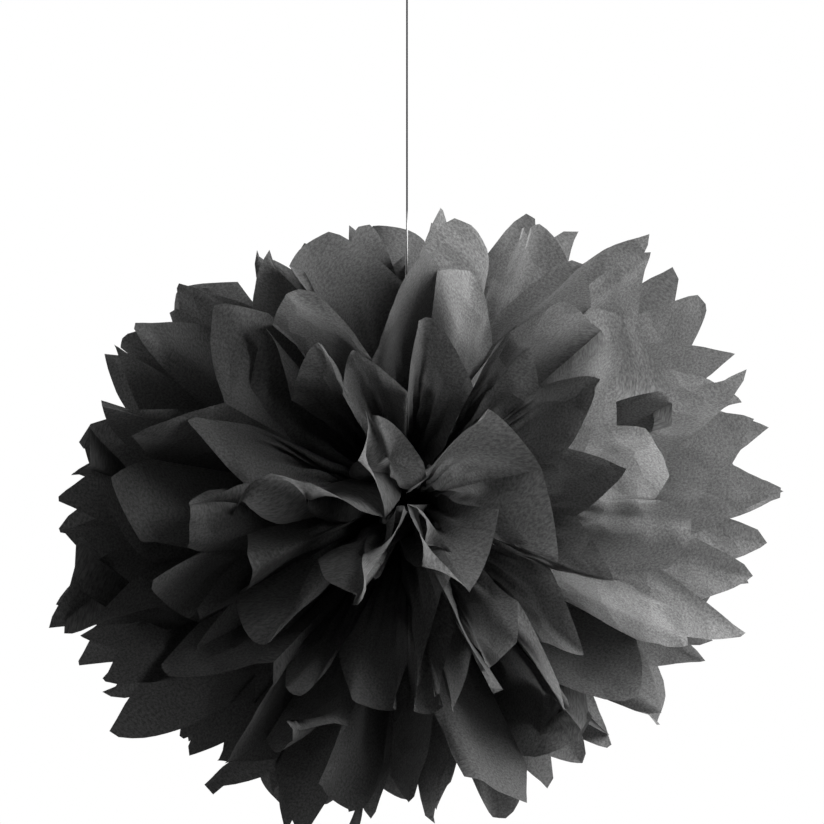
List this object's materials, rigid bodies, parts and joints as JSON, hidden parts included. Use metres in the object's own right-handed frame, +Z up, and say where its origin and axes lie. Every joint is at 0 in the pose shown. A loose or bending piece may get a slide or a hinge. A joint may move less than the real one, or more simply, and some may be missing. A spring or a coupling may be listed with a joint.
{
  "type": "tissue paper pom pom",
  "caption": "Round hanging pom pom of pleated black tissue paper sheets tied at the middle, with a thread and loop to hang it from.",
  "frame": {"origin": "centre of the tie, where the stack of sheets is wired and the thread starts", "axes": "+Z up along the thread, -Y to the front bud, X along the strips of the pleated stack, from the tips of one fan to the tips of the other"},
  "size_m": [0.5081, 0.4138, 0.5986],
  "materials": {
    "black_tissue": "thin, slightly translucent black tissue paper with fine wrinkles, matt with a faint sheen",
    "black_thread": "matt twisted black thread",
    "steel_wire": "plain florist's wire"
  },
  "bodies": {
    "root": {"sheet_front_1": "black_tissue", "sheet_front_2": "black_tissue", "sheet_front_3": "black_tissue", "sheet_front_4": "black_tissue", "sheet_front_5": "black_tissue", "sheet_front_6": "black_tissue", "sheet_back_1": "black_tissue", "sheet_back_2": "black_tissue", "sheet_back_3": "black_tissue", "sheet_back_4": "black_tissue", "sheet_back_5": "black_tissue", "sheet_back_6": "black_tissue", "binding_wire": "steel_wire", "hanging_thread": "black_thread", "thread_knot": "black_thread", "hanging_loop": "black_thread"}
  },
  "joints": []
}
